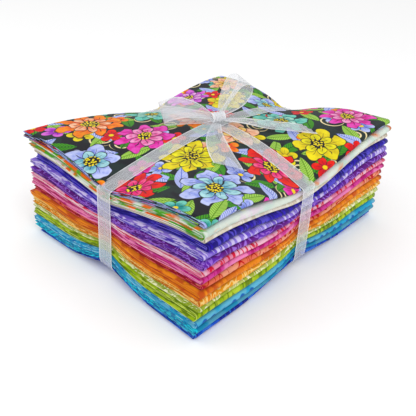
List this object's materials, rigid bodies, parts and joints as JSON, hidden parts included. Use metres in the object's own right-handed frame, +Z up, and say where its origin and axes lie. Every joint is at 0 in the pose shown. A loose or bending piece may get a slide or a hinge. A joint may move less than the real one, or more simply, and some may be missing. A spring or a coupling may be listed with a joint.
{
  "type": "fabric bundle",
  "caption": "Stack of folded printed quilting cottons in rainbow order, tied both ways with sheer white ribbon in a bow.",
  "frame": {"origin": "middle of the underside, on the surface that the bundle rests on", "axes": "+Z up, +X towards the round folds of the cuts, -Y towards their layered edges"},
  "size_m": [0.2364, 0.2864, 0.1428],
  "materials": {
    "cotton_royal_blue": "matt printed cotton",
    "cotton_steel_teal": "matt printed cotton",
    "cotton_light_teal": "matt printed cotton",
    "cotton_lime": "matt printed cotton",
    "cotton_light_green": "matt printed cotton",
    "cotton_golden": "matt printed cotton",
    "cotton_dark_orange": "matt printed cotton",
    "cotton_peach": "matt printed cotton",
    "cotton_hot_pink": "matt printed cotton",
    "cotton_light_pink": "matt printed cotton",
    "cotton_purple": "matt printed cotton",
    "cotton_lilac": "matt printed cotton",
    "cotton_indigo": "matt printed cotton",
    "cotton_cream": "matt printed cotton",
    "cotton_mint": "matt printed cotton",
    "cotton_floral": "matt printed cotton, flowers on a near-black ground",
    "organza_white": "sheer woven ribbon with a soft sheen"
  },
  "bodies": {
    "root": {"cut_royal_blue": "cotton_royal_blue", "cut_steel_teal": "cotton_steel_teal", "cut_light_teal": "cotton_light_teal", "cut_lime": "cotton_lime", "cut_light_green": "cotton_light_green", "cut_golden": "cotton_golden", "cut_dark_orange": "cotton_dark_orange", "cut_peach": "cotton_peach", "cut_hot_pink": "cotton_hot_pink", "cut_light_pink": "cotton_light_pink", "cut_purple": "cotton_purple", "cut_lilac": "cotton_lilac", "cut_indigo": "cotton_indigo", "cut_cream": "cotton_cream", "cut_mint": "cotton_mint", "cut_floral": "cotton_floral", "ribbon_band_x": "organza_white", "ribbon_band_y": "organza_white", "ribbon_knot": "organza_white", "ribbon_loop_left": "organza_white", "ribbon_loop_back": "organza_white", "ribbon_tail_front": "organza_white", "ribbon_tail_right": "organza_white"}
  },
  "joints": []
}
